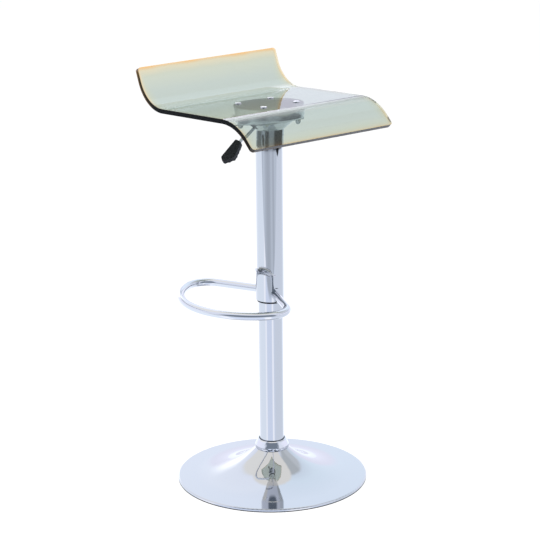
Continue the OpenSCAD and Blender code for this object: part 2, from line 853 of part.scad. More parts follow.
// Welded socket that holds the fixed tube upright inside the trumpet
module base_socket() {
    socket_r = tube_r + socket_wall;
    top = neck_z - socket_flange_drop;
    color(steel) difference() {
        union() {
            translate([0, 0, ring_foot_t]) cylinder(r = socket_r, h = top - ring_foot_t);
            rotate_extrude() intersection() {
                base_outline(shell_wall);
                translate([tube_r, top - socket_flange_t]) square([neck_d, socket_flange_t]);
            }
        }
        translate([0, 0, tube_z]) cylinder(r = tube_r, h = top);
        cylinder(r = socket_hole_r, h = top);
    }
}

// Flat weight under the pressing
module ballast_plate() {
    color(steel) rotate_extrude($fn = 180) intersection() {
        base_outline(shell_wall);
        translate([tube_r + socket_wall, ring_foot_t])
            square([base_r - ballast_gap - tube_r - socket_wall, ballast_t]);
    }
}

// Rubber ring under the rim, the part that meets the floor
module floor_ring() {
    lip_r = base_r - ballast_gap + face_gap;
    color(black) rotate_extrude($fn = 180) {
        translate([base_r - ring_foot_w, 0]) square([ring_foot_w, ring_foot_t]);
        intersection() {
            translate([lip_r, ring_foot_t]) square([ballast_gap, ring_lip_h]);
            base_outline(shell_wall);
        }
    }
}

seat_sheet();
seat_bolts();
seat_pad();
mount_dish();
mount_plate();
mount_cone();
plate_washers();
cap_nuts();
taper_hub();
pivot_bracket();
pivot_pin();
lever_rod();
lever_grip();
valve_pin();
gas_cylinder();
cylinder_gland();
sleeve_clip();
sleeve_top_bush();
sleeve_tube();
sleeve_bush();
footrest_bracket();
footrest_loop();
guide_bush();
lower_tube();
piston();
piston_rod();
bump_stop();
upper_race();
bearing_balls();
bearing_cage();
lower_race();
thrust_seat();
rod_washer();
rod_clip();
base_ring();
base_shell();
base_socket();
ballast_plate();
floor_ring();
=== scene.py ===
"""Looks of a swivel bar stool with a bent acrylic seat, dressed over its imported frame.

Units are metres. Z is up and the column stands on the Z axis. The sitter faces -Y and the footrest
points to -X. Every piece of the stool is a node of the frame, and each sub-assembly is a class that
gives its nodes their finish. The studio is white to the eye. In polished metal its floor and room
show greys by direction and height, chosen to come close to the reflections in the photograph.
"""

import json
import logging
import math
from dataclasses import dataclass, field
from enum import Enum
from typing import Any, Protocol, Sequence

import bpy
import numpy as np
from mathutils import Matrix, Vector

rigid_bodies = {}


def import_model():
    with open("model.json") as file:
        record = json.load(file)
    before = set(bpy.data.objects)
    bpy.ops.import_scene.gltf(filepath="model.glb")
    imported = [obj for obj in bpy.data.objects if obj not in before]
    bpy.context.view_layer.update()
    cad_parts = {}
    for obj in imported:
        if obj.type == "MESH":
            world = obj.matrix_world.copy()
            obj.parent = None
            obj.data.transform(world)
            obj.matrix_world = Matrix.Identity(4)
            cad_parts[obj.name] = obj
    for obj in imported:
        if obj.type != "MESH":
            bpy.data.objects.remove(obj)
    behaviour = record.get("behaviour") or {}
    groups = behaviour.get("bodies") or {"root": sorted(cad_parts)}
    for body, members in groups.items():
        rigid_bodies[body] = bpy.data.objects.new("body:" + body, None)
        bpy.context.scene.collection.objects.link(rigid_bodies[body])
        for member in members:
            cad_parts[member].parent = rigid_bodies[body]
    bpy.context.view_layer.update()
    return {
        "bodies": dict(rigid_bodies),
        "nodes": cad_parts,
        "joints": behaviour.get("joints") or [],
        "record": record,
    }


MM = 0.001
log = logging.getLogger("stool")

Socket = bpy.types.NodeSocket
Tree = bpy.types.NodeTree
Colour = tuple[float, float, float, float]
Span = tuple[float, float]
Stops = Sequence[tuple[float, str]]

# Settings of a Map Range with soft ends and of a Mix that takes colours
SOFT = {"interpolation_type": "SMOOTHSTEP"}
RGBA = {"data_type": "RGBA"}


def linear(code: str) -> Colour:
    """Turns an sRGB hex colour to linear light.

    Args:
        code: six hex digits after a hash.

    Returns:
        Red, green, blue and 1, where each channel c above 0.04045 is ((c + 0.055) / 1.055) ^ 2.4.
    """
    parts = [int(code[i : i + 2], 16) / 255 for i in (1, 3, 5)]
    lit = [c / 12.92 if c <= 0.04045 else ((c + 0.055) / 1.055) ** 2.4 for c in parts]
    return lit[0], lit[1], lit[2], 1.0


def add(
    tree: Tree, kind: str, inputs: dict[Any, Any] | None = None, stops: Stops = (), **settings: Any
) -> bpy.types.Node:
    """Adds a node with its settings and links.

    Args:
        tree: node tree that gets the node.
        kind: Blender's name for the node, after "ShaderNode".
        inputs: for each input, by name or number, the value it holds or the output that feeds it.
        stops: places and sRGB hex colours of a colour ramp, in rising order.
        settings: the node's own settings.

    Returns:
        The new node.
    """
    node = tree.nodes.new("ShaderNode" + kind)
    for key, value in settings.items():
        setattr(node, key, value)
    for key, value in (inputs or {}).items():
        if isinstance(value, Socket):
            tree.links.new(value, node.inputs[key])
        else:
            node.inputs[key].default_value = value
    if stops:
        points = node.color_ramp.elements
        while len(points) < len(stops):
            points.new(1.0)
        for point, (place, code) in zip(points, stops):
            point.position = place
            point.color = linear(code)
    return node


def out(tree: Tree, kind: str, *inputs: Any, **settings: Any) -> Socket:
    """Adds a node whose inputs are given in their order.

    Args:
        tree: node tree that gets the node.
        kind: Blender's name for the node, after "ShaderNode".
        inputs: values or outputs for its first inputs.
        settings: the node's own settings.

    Returns:
        The node's first output.
    """
    return add(tree, kind, dict(enumerate(inputs)), **settings).outputs[0]


def new_material(name: str) -> tuple[bpy.types.Material, Tree, bpy.types.Node]:
    """Starts a material with one Principled node.

    Args:
        name: the material's name.

    Returns:
        The material, its tree and its Principled node.
    """
    material = bpy.data.materials.new(name)
    material.use_nodes = True
    tree = material.node_tree
    return material, tree, tree.nodes["Principled BSDF"]


def object_point(tree: Tree) -> Socket:
    """Gives the output with the point in the piece's own metres."""
    return add(tree, "TexCoord").outputs["Object"]


def looks_up(tree: Tree) -> Socket:
    """Gives 1 for a face that looks straight up, 0 for an upright one."""
    return add(tree, "SeparateXYZ", {0: add(tree, "NewGeometry").outputs["Normal"]}).outputs[2]


def noise_of(tree: Tree, grain: float, detail: float = 2.0, stretch: Vector | None = None) -> Socket:
    """Gives a smooth random value, 0 to 1, with grains of a real size.

    Args:
        tree: node tree that gets the noise.
        grain: size of one grain in metres.
        detail: number of finer layers.
        stretch: how many times finer it is along X, Y and Z.

    Returns:
        The output that carries the value.
    """
    place = object_point(tree)
    if stretch is not None:
        place = add(tree, "Mapping", {"Vector": place, "Scale": stretch}).outputs[0]
    return add(tree, "TexNoise", {"Vector": place, "Scale": 1 / grain, "Detail": detail}).outputs[0]


class Lay(Enum):
    """Direction in which a metal surface was last worked."""

    ROUND = "round the column"
    PRESSED = "pressed and buffed, no one direction"


@dataclass(frozen=True)
class ChromePlate:
    """Bright chrome over nickel on polished steel: a slightly blue-grey mirror.

    Buffing leaves faint cloudy patches that soften the mirror a little, and pressed or drawn steel
    under the plate is never quite flat, so reflections waver.

    Attributes:
        tint: colour of the mirror.
        clear: roughness outside the patches.
        cloudy: roughness inside them.
        patch: size of a patch.
        patch_values: values of its noise from its edge to its middle.
        wave: length of the steel's waves.
        wave_depth: depth of the waves.
        lay: direction in which the steel was worked.
        round_stretch: how many times finer the waves of steel worked round the column are.
        scuff: roughness that shoes add in streaks of scuff_grain on faces that look up.
        crevice: radius inside which a dark line of painted shade runs round the column, where two parts
            meet.
        side_shade: tint of faces that look aside or down, painted shade by how light falls on them.
    """

    name: str = "chrome_plate"
    tint: str = "#C4C6CA"
    clear: float = 0.015
    cloudy: float = 0.05
    patch: float = 45 * MM
    patch_values: Span = (0.35, 0.7)
    wave: float = 70 * MM
    wave_depth: float = 0.02 * MM
    round_stretch: tuple[float, float, float] = (1.0, 1.0, 0.35)
    lay: Lay = Lay.PRESSED
    scuff: float = 0.0
    scuff_grain: float = 6 * MM
    scuff_stretch: tuple[float, float, float] = (1.0, 0.2, 1.0)
    scuff_values: Span = (0.55, 0.75)
    scuff_slopes: Span = (0.45, 0.95)
    crevice: float = 0.0
    crevice_edge: float = 0.6 * MM
    # colour of the painted shade in the crevice
    crevice_shade: str = "#101418"
    # tint and slopes of the painted shade on faces that look aside or down
    side_shade: str = ""
    side_shade_slopes: Span = (0.3, 0.8)

    def make(self) -> bpy.types.Material:
        """Builds the material.

        Returns:
            The material.
        """
        material, tree, shader = new_material(self.name)
        shader.inputs["Base Color"].default_value = linear(self.tint)
        # painted shade: a dark line round the crevice
        if self.crevice:
            tree.links.new(self._shaded_crevice(tree), shader.inputs["Base Color"])
        # faces that look aside or down get a painted-shade tint
        if self.side_shade:
            tree.links.new(self._side_shaded(tree), shader.inputs["Base Color"])
        shader.inputs["Metallic"].default_value = 1.0
        patches = noise_of(tree, self.patch, 4.0)
        rough = out(tree, "MapRange", patches, *self.patch_values, self.clear, self.cloudy, **SOFT)
        if self.scuff:
            rough = self._scuffed(tree, rough)
        tree.links.new(rough, shader.inputs["Roughness"])
        stretch = Vector(self.round_stretch) if self.lay is Lay.ROUND else None
        height = noise_of(tree, self.wave, 1.0, stretch)
        bump = add(tree, "Bump", {"Height": height, "Distance": self.wave_depth, "Strength": 1.0})
        tree.links.new(bump.outputs[0], shader.inputs["Normal"])
        return material

    def _side_shaded(self, tree: Tree) -> Socket:
        """Gives the tint on faces that look up and the painted-shade tint on the others.

        Args:
            tree: the material's tree.

        Returns:
            The output with the colour.
        """
        share = out(tree, "MapRange", looks_up(tree), *self.side_shade_slopes, **SOFT)
        ends = {6: linear(self.side_shade), 7: linear(self.tint)}
        return add(tree, "Mix", {0: share, **ends}, **RGBA).outputs[2]

    def _shaded_crevice(self, tree: Tree) -> Socket:
        """Gives the tint with the crevice's dark line of painted shade.

        Args:
            tree: the material's tree.

        Returns:
            The output with the colour.
        """
        level = out(tree, "VectorMath", object_point(tree), (1, 1, 0), operation="MULTIPLY")
        radius = add(tree, "VectorMath", {0: level}, operation="LENGTH").outputs["Value"]
        outside = self.crevice + self.crevice_edge
        share = out(tree, "MapRange", radius, self.crevice, outside, 1.0, 0.0, **SOFT)
        ends = {6: linear(self.tint), 7: linear(self.crevice_shade)}
        return add(tree, "Mix", {0: share, **ends}, **RGBA).outputs[2]

    def _scuffed(self, tree: Tree, rough: Socket) -> Socket:
        """Adds the dull streaks that shoes rub into the upper side.

        Args:
            tree: the material's tree.
            rough: roughness without them.

        Returns:
            The output with the roughness.
        """
        top = out(tree, "MapRange", looks_up(tree), *self.scuff_slopes, **SOFT)
        streak = noise_of(tree, self.scuff_grain, 3.0, Vector(self.scuff_stretch))
        worn = out(tree, "MapRange", streak, *self.scuff_values, **SOFT)
        share = out(tree, "Math", top, worn, operation="MULTIPLY")
        return out(tree, "Math", share, self.scuff, rough, operation="MULTIPLY_ADD")


@dataclass(frozen=True)
class SmokedAcrylic:
    """Cast acrylic with a light smoke-green tint and polished edges.

    Nine millimetres of it only tint what is behind, while a look into a cut edge meets the length of
    the sheet and stays nearly black. Near the cut edges an amber glow is painted on, as tint and light.

    Attributes:
        glow_tints: painted amber glow in the colour, by depth inside the cut edges, 1 at the amber's full
            reach.
        lights: painted glow, light given off by the same depth though the sheet is no lamp.
        light_along: places along Y between which that painted glow grows, from light_front to light_back.
        smoke: colour that the sheet's body takes on with length.
        smoke_density: how fast it does, per metre.
        cloud: size of the clouds in which the amber fades.
        cloud_share: how far the clouds shift it.
        corner: share of the reach over which the ambers of two edges run together.
        wipe: size of the wiped patches.
        wipe_values: values of their noise from edge to middle.
        dull: roughness in them.
        edge_facing: how squarely a face looks out of an edge, from broad face to cut edge.
    """

    name: str = "acrylic"
    glow_tints: Stops = ((0.0, "#F6CC98"), (0.12, "#FCF1DF"), (0.4, "#FBF9F0"), (1.0, "#FCFDFE"))
    lights: Stops = ((0.0, "#8C6234"), (0.1, "#6A5438"), (0.35, "#393226"), (1.0, "#000000"))
    light_along: Span = (-80 * MM, 100 * MM)
    light_front: float = 0.22
    light_back: float = 0.85
    smoke: str = "#7CA287"
    smoke_density: float = 68.0
    ior: float = 1.49
    cloud: float = 60 * MM
    cloud_share: float = 0.2
    corner: float = 0.2
    wipe: float = 30 * MM
    wipe_values: Span = (0.4, 0.75)
    dull: float = 0.035
    edge_facing: Span = (0.6, 0.8)

    def make(self, edge_planes: Sequence[tuple[Vector, float, float]]) -> bpy.types.Material:
        """Builds the material.

        Args:
            edge_planes: for each cut edge the outward direction, its distance from the origin and
                how deep the amber reaches in from it.

        Returns:
            The material.
        """
        material, tree, shader = new_material(self.name)
        depth = self._edge_depth(tree, edge_planes)
        cloud = noise_of(tree, self.cloud)
        cloud = out(tree, "Math", cloud, self.cloud_share, depth, operation="MULTIPLY_ADD")
        place = out(tree, "Math", cloud, self.cloud_share / 2, operation="SUBTRACT", use_clamp=True)
        # painted glow: an amber tint and light given off near the cut edges
        tint = out(tree, "ValToRGB", place, stops=self.glow_tints)
        lit = out(tree, "ValToRGB", place, stops=self.lights)
        broad = self._broad_face(tree, edge_planes)
        light = add(tree, "Mix", {0: broad, 6: (0.0, 0.0, 0.0, 1.0), 7: lit}, **RGBA).outputs[2]
        tree.links.new(light, shader.inputs["Emission Color"])
        along = add(tree, "SeparateXYZ", {0: object_point(tree)}).outputs[1]
        ends = (*self.light_along, self.light_front, self.light_back)
        # the painted glow grows from the front to the back
        strength = out(tree, "MapRange", along, *ends, **SOFT)
        tree.links.new(strength, shader.inputs["Emission Strength"])
        tree.links.new(tint, shader.inputs["Base Color"])
        shader.inputs["Transmission Weight"].default_value = 1.0
        shader.inputs["IOR"].default_value = self.ior
        wiped = noise_of(tree, self.wipe, 4.0)
        wiped = out(tree, "MapRange", wiped, *self.wipe_values, 0.0, self.dull, **SOFT)
        tree.links.new(wiped, shader.inputs["Roughness"])
        body = {"Color": linear(self.smoke), "Density": self.smoke_density}
        smoke = add(tree, "VolumeAbsorption", body).outputs[0]
        tree.links.new(smoke, tree.nodes["Material Output"].inputs["Volume"])
        return material

    def _broad_face(self, tree: Tree, edge_planes: Sequence[tuple[Vector, float, float]]) -> Socket:
        """Gives 1 on the sheet's two broad faces and 0 on its cut edges.

        Args:
            tree: the material's tree.
            edge_planes: outward direction, distance and reach of each edge.

        Returns:
            The output, from the greatest share by which the face looks along an edge's direction.
        """
        facing: Any = 0.0
        for direction, _, _ in edge_planes:
            normal = add(tree, "NewGeometry").outputs["True Normal"]
            along = add(tree, "VectorMath", {0: normal, 1: direction}, operation="DOT_PRODUCT")
            share = out(tree, "Math", along.outputs["Value"], operation="ABSOLUTE")
            facing = out(tree, "Math", facing, share, operation="MAXIMUM")
        return out(tree, "MapRange", facing, *self.edge_facing, 1.0, 0.0, **SOFT)

    def _edge_depth(self, tree: Tree, edge_planes: Sequence[tuple[Vector, float, float]]) -> Socket:
        """Gives how deep a point lies inside the cut edges, as a share of the amber's reach.

        Args:
            tree: the material's tree.
            edge_planes: outward direction, distance and reach of each edge.

        Returns:
            The output with the least of (distance minus point times direction) / reach, rounded
            where two edges meet.
        """
        depth: Any = 1.0
        for direction, distance, reach in edge_planes:
            point = object_point(tree)
            along = add(tree, "VectorMath", {0: point, 1: direction}, operation="DOT_PRODUCT")
            inside = out(tree, "Math", distance, along.outputs["Value"], operation="SUBTRACT")
            share = out(tree, "Math", inside, reach, operation="DIVIDE")
            depth = out(tree, "Math", depth, share, self.corner, operation="SMOOTH_MIN")
        return depth


@dataclass(frozen=True)
class MouldedPlastic:
    """Black injection-moulded plastic with a fine spark-eroded grain."""

    name: str = "black_plastic"
    colour: str = "#08090D"
    dusty: str = "#101219"
    ior: float = 1.38
    rubbed: float = 0.22
    dull: float = 0.40
    patch: float = 12 * MM
    dust_values: Span = (0.35, 0.8)
    dull_values: Span = (0.3, 0.8)
    grain: float = 0.9 * MM  # the real grain is 0.2 mm, too fine to show
    grain_depth: float = 0.05 * MM
    bump: float = 0.6

    def make(self) -> bpy.types.Material:
        """Builds the material.

        Returns:
            The material.
        """
        material, tree, shader = new_material(self.name)
        patch = noise_of(tree, self.patch, 3.0)
        dust = out(tree, "MapRange", patch, *self.dust_values, **SOFT)
        ends = {6: linear(self.colour), 7: linear(self.dusty)}
        tree.links.new(add(tree, "Mix", {0: dust, **ends}, **RGBA).outputs[2], shader.inputs["Base Color"])
        rough = out(tree, "MapRange", patch, *self.dull_values, self.rubbed, self.dull, **SOFT)
        tree.links.new(rough, shader.inputs["Roughness"])
        shader.inputs["IOR"].default_value = self.ior
        height = noise_of(tree, self.grain, 2.0)
        bump = add(tree, "Bump", {"Height": height, "Distance": self.grain_depth, "Strength": self.bump})
        tree.links.new(bump.outputs[0], shader.inputs["Normal"])
        return material


@dataclass(frozen=True)
class SolidCoat:
    """A plain opaque finish with its own mottling: rubber, lacquer, primer or bare worked metal."""

    name: str
    colour: str
    second: str
    roughness: float
    metallic: float = 0.0
    ior: float = 1.5
    grain: float = 3 * MM
    grain_depth: float = 0.04 * MM
    grains_per_patch: int = 8
    patch_values: Span = (0.3, 0.75)
    rough_values: Span = (0.3, 0.8)
    rough_shares: Span = (0.85, 1.2)
    bump: float = 0.7
    stretch: tuple[float, float, float] = (1.0, 1.0, 1.0)

    def make(self) -> bpy.types.Material:
        """Builds the material.

        Returns:
            The material.
        """
        material, tree, shader = new_material(self.name)
        patch = noise_of(tree, self.grains_per_patch * self.grain, 4.0)
        share = out(tree, "MapRange", patch, *self.patch_values, **SOFT)
        ends = {6: linear(self.colour), 7: linear(self.second)}
        tree.links.new(add(tree, "Mix", {0: share, **ends}, **RGBA).outputs[2], shader.inputs["Base Color"])
        shader.inputs["Metallic"].default_value = self.metallic
        shader.inputs["IOR"].default_value = self.ior
        least, most = (min(1.0, self.roughness * share) for share in self.rough_shares)
        rough = out(tree, "MapRange", patch, *self.rough_values, least, most, **SOFT)
        tree.links.new(rough, shader.inputs["Roughness"])
        height = noise_of(tree, self.grain, 2.0, Vector(self.stretch))
        bump = add(tree, "Bump", {"Height": height, "Distance": self.grain_depth, "Strength": self.bump})
        tree.links.new(bump.outputs[0], shader.inputs["Normal"])
        return material


# Chromed pressings and rods: plain bright mirrors
CHROME = ChromePlate()
# Chromed drawn tube: buffed round the column, so it hardly wavers
TUBE_CHROME = ChromePlate("chrome_tube", lay=Lay.ROUND, wave_depth=0.01 * MM)
# Chromed bent tube underfoot: a pale, clear mirror, with dull streaks on top
FOOTREST_CHROME = ChromePlate("chrome_footrest", tint="#CED0D4", clear=0.01, cloudy=0.03, scuff=0.06)
# Chromed ring at the base's neck: short waves make it sparkle, with a dark line of painted shade at the
# tube
RING_CHROME = ChromePlate("chrome_ring", tint="#D4D6DA", clear=0.03, cloudy=0.1, wave=6 * MM,
                          wave_depth=0.25 * MM, crevice=26.6 * MM)
# Chromed pressings under the seat: a darker tint, and a tint on faces that look aside or down, painted as
# shade under the seat; softer because they are little buffed
SHADED_MOUNT_CHROME = ChromePlate("chrome_mount_shaded", tint="#A8AAA4", side_shade="#A8ACA9", clear=0.03, cloudy=0.08)
# Moulded nylon or polypropylene: black with a dusty bloom
PLASTIC = MouldedPlastic()
# Vulcanised rubber: dull, with a light bloom
RUBBER = SolidCoat("black_rubber", "#161616", "#232323", 0.68, grain=1.5 * MM)
# Ground and oiled steel: fine turned lines round the column's axis
GROUND_STEEL = SolidCoat("bright_steel", "#A4A6A9", "#8E9196", 0.24, metallic=1.0, grain=1.2 * MM,
                         grain_depth=0.01 * MM, stretch=(0.2, 0.2, 3.0))
# Dull nickel on cold-headed steel: pale and satin, so the small heads stay bright at every angle
NICKEL = SolidCoat("satin_nickel", "#E4E5E8", "#D6D8DC", 0.32, metallic=1.0, grain=0.8 * MM,
                   grain_depth=0.005 * MM)
# Black stove lacquer on drawn steel: deep and half glossy
LACQUER = SolidCoat("dark_steel", "#17181A", "#1E2023", 0.22, ior=1.52, grain=4 * MM,
                    grain_depth=0.01 * MM)
# Stamped brass: warm, half bright
BRASS = SolidCoat("brass_cage", "#C9A45C", "#B48C48", 0.3, metallic=1.0, grain=1.5 * MM)
# Primed steel weight: flat dark grey with a dry spray texture
PRIMER = SolidCoat("ballast", "#35363A", "#2B2C2F", 0.75, grain=1.2 * MM, grain_depth=0.08 * MM)


class Finish(Protocol):
    """A finish that builds its own material."""

    name: str

    def make(self) -> bpy.types.Material:
        """Builds the material."""


Worn = tuple[tuple[Finish, tuple[str, ...]], ...]


@dataclass
class Wardrobe:
    """The frame's nodes by name, and the materials already made, one to a finish."""

    nodes: dict[str, bpy.types.Object]
    made: dict[Finish, bpy.types.Material] = field(default_factory=dict)

    def coat(self, material: bpy.types.Material, *names: str) -> None:
        """Gives nodes a material in all their slots and logs each.

        Args:
            material: what they wear.
            names: the nodes.
        """
        for name in names:
            for slot in self.nodes[name].material_slots:
                slot.material = material
            log.info("%s: %s", name, material.name)

    def dress(self, finish: Finish, *names: str) -> None:
        """Gives nodes a finish, whose material is made when it is first worn.

        Args:
            finish: what they wear.
            names: the nodes.
        """
        if finish not in self.made:
            self.made[finish] = finish.make()
        self.coat(self.made[finish], *names)


@dataclass
class SeatSheet:
    """The bent acrylic seat.

    Its section is a flat, an arc down at the front and an arc up at the back, each with a straight
    lip. It is tilted as a whole. An amber is how deep the painted warm glow reaches in from a cut edge.
    """

    height: float = 792.5 * MM
    width: float = 352 * MM
    flat: float = 195 * MM
    shift: float = 19 * MM
    tilt: float = 3.2
    front_bend: float = 104 * MM
    front_angle: float = 47
    front_lip: float = 22.5 * MM
    back_bend: float = 71 * MM
    back_angle: float = 72
    back_lip: float = 28.5 * MM
    side_amber: float = 22 * MM
    front_amber: float = 28 * MM
    back_amber: float = 54 * MM
    finish: SmokedAcrylic = SmokedAcrylic()

    def place(self, y: float, z: float) -> Vector:
        """Takes a point of the section to the stool's frame.

        Args:
            y: its place along the untilted flat.
            z: its height over the untilted flat.

        Returns:
            The point, turned by the tilt about X and raised to the seat's height.
        """
        turn = math.radians(-self.tilt)
        across = y * math.cos(turn) - z * math.sin(turn)
        return Vector((0, across, y * math.sin(turn) + z * math.cos(turn) + self.height))

    def edge_planes(self) -> list[tuple[Vector, float, float]]:
        """Works out the planes of the four cut edges from the section's arcs and lips.

        Returns:
            The outward direction, distance and depth of amber of each.
        """
        zero = self.place(0, 0)
        front, back = math.radians(self.front_angle), math.radians(self.back_angle)
        y_front = self.shift - self.flat / 2 - self.front_bend * math.sin(front)
        y_front -= self.front_lip * math.cos(front)
        z_front = -self.front_bend * (1 - math.cos(front)) - self.front_lip * math.sin(front)
        y_back = self.shift + self.flat / 2 + self.back_bend * math.sin(back)
        y_back += self.back_lip * math.cos(back)
        z_back = self.back_bend * (1 - math.cos(back)) + self.back_lip * math.sin(back)
        planes = [(Vector((side, 0, 0)), self.width / 2, self.side_amber) for side in (-1, 1)]
        for y, z, direction, reach in (
            (y_front, z_front, (-math.cos(front), -math.sin(front)), self.front_amber),
            (y_back, z_back, (math.cos(back), math.sin(back)), self.back_amber),
        ):
            outward = self.place(*direction) - zero
            planes.append((outward, outward.dot(self.place(y, z)), reach))
        return planes

    def dress(self, wardrobe: Wardrobe) -> None:
        """Gives the sheet its acrylic."""
        wardrobe.coat(self.finish.make(self.edge_planes()), "seat_sheet")


@dataclass
class Assembly:
    """A sub-assembly whose pieces keep the frame's shapes.

    Attributes:
        worn: its finishes, each with the nodes that wear it.
    """

    worn: Worn

    def dress(self, wardrobe: Wardrobe) -> None:
        """Gives its pieces their finishes."""
        for finish, names in self.worn:
            wardrobe.dress(finish, *names)


@dataclass
class SeatMount(Assembly):
    """What holds the sheet on the gas cylinder: bolts, pad, dish, plate, cone, hub and bracket."""

    worn: Worn = (
        (NICKEL, ("seat_bolts",)),
        (RUBBER, ("seat_pad",)),
        # these pressings wear chrome with painted shade, darker than the rest
        (SHADED_MOUNT_CHROME, ("mount_dish", "mount_plate", "mount_cone", "plate_washers", "cap_nuts")),
        (GROUND_STEEL, ("taper_hub", "pivot_bracket", "pivot_pin", "sleeve_clip")),
        (LACQUER, ("gas_cylinder",)),
        (PLASTIC, ("cylinder_gland",)),
    )


@dataclass
class ReleaseLever(Assembly):
    """The lever with its grip, and the gas spring's valve pin that it presses."""

    worn: Worn = (
        (CHROME, ("lever_rod",)),
        (PLASTIC, ("lever_grip",)),
        (GROUND_STEEL, ("valve_pin",)),
    )


@dataclass
class Sleeve(Assembly):
    """The tube that turns over the column, with its bushes and the footrest."""

    worn: Worn = (
        (TUBE_CHROME, ("sleeve_tube",)),
        (PLASTIC, ("sleeve_top_bush", "sleeve_bush")),
        (CHROME, ("footrest_bracket",)),
        (FOOTREST_CHROME, ("footrest_loop",)),
    )


@dataclass
class Spindle(Assembly):
    """The gas spring's rod, with its piston and what turns on the thrust bearing."""

    worn: Worn = (
        (GROUND_STEEL, ("piston_rod", "upper_race", "rod_washer", "rod_clip")),
        (PLASTIC, ("piston",)),
        (RUBBER, ("bump_stop",)),
    )


@dataclass
class Base(Assembly):
    """The fixed tube with the thrust bearing, and the trumpet foot with its ring and weight."""

    worn: Worn = (
        (TUBE_CHROME, ("lower_tube",)),
        (PLASTIC, ("guide_bush",)),
        (GROUND_STEEL, ("thrust_seat", "lower_race", "bearing_balls")),
        (BRASS, ("bearing_cage",)),
        (RING_CHROME, ("base_ring",)),
        (CHROME, ("base_shell",)),
        (LACQUER, ("base_socket",)),
        (PRIMER, ("ballast_plate",)),
        (RUBBER, ("floor_ring",)),
    )


@dataclass(frozen=True)
class Shot:
    """The photograph's camera: a long lens that looks down on the stool from its front left."""

    place: tuple[float, float, float] = (-2.354, -2.956, 1.5589)
    azimuth: float = 38.525
    pitch: float = 16.386
    roll: float = -0.59
    lens_mm: float = 129.34
    sensor_mm: float = 36.0

    def forward(self) -> Vector:
        """Gives the direction in which the camera looks."""
        az, down = math.radians(self.azimuth), math.radians(self.pitch)
        return Vector((math.sin(az) * math.cos(down), math.cos(az) * math.cos(down), -math.sin(down)))

    def level_axes(self) -> tuple[Vector, Vector]:
        """Gives the level directions from the stool to the camera and to the picture's right."""
        az = math.radians(self.azimuth)
        return Vector((-math.sin(az), -math.cos(az), 0)), Vector((math.cos(az), -math.sin(az), 0))

    def bearing(self, tree: Tree, point: Socket) -> tuple[Socket, Socket]:
        """Gives where a point lies about the column, seen from the camera's side.

        Args:
            tree: tree that gets the nodes.
            point: output with a point or a direction.

        Returns:
            The angle from the camera's side to the picture's right as a share of the full turn
            (0.5 towards the camera, rising to the right), and the reach towards the camera.
        """
        toward, right = self.level_axes()
        near = add(tree, "VectorMath", {0: point, 1: toward}, operation="DOT_PRODUCT").outputs["Value"]
        side = add(tree, "VectorMath", {0: point, 1: right}, operation="DOT_PRODUCT").outputs["Value"]
        angle = out(tree, "Math", side, near, operation="ARCTAN2")
        return out(tree, "Math", angle, 0.5 / math.pi, 0.5, operation="MULTIPLY_ADD"), near

    def build(self) -> None:
        """Makes the camera and sets it as the scene's."""
        forward = self.forward()
        right = forward.cross(Vector((0, 0, 1))).normalized()
        up = right.cross(forward)
        turn = math.radians(self.roll)
        across = math.cos(turn) * right + math.sin(turn) * up
        upright = math.cos(turn) * up - math.sin(turn) * right
        data = bpy.data.cameras.new("camera")
        data.lens, data.sensor_width, data.clip_end = self.lens_mm, self.sensor_mm, 100.0
        camera = bpy.data.objects.new("camera", data)
        frame = Matrix((across, upright, -forward)).transposed().to_4x4()
        camera.matrix_world = Matrix.Translation(self.place) @ frame
        bpy.context.scene.collection.objects.link(camera)
        bpy.context.scene.camera = camera


@dataclass(frozen=True)
class Arc:
    """A stretch of bearings with soft ends: it rises from start to full and falls from fade to end."""

    start: float
    full: float
    fade: float
    end: float

    def weight(self, tree: Tree, share: Socket) -> Socket:
        """Gives 1 inside the stretch and 0 outside.

        Args:
            tree: tree that gets the nodes.
            share: bearing as a share of the turn.

        Returns:
            The output with the weight.
        """
        rise = out(tree, "MapRange", share, self.start, self.full, **SOFT)
        fall = out(tree, "MapRange", share, self.fade, self.end, 1.0, 0.0, **SOFT)
        return out(tree, "Math", rise, fall, operation="MULTIPLY")


def off(tree: Tree, share: Socket, middle: float) -> Socket:
    """Gives how far a bearing lies from a middle one, as a share of the turn."""
    return out(tree, "Math", out(tree, "Math", share, middle, operation="SUBTRACT"), operation="ABSOLUTE")


@dataclass(frozen=True)
class MirrorLight:
    """The light that metal mirrors from the studio.

    Bearings are shares of the full turn, 0.5 towards the camera and rising to the picture's right.

    Attributes:
        shot: camera from which bearings are read.
        strength: strength of all mirrored light.
        cool: cast of the unlit greys.
    """

    shot: Shot
    strength: float = 1.45
    cool: tuple[float, float, float] = (0.86, 0.94, 1.08)

    def cooled(self, tree: Tree, grey: Socket) -> Socket:
        """Gives a grey the cool cast."""
        return out(tree, "VectorMath", grey, self.cool, operation="MULTIPLY")


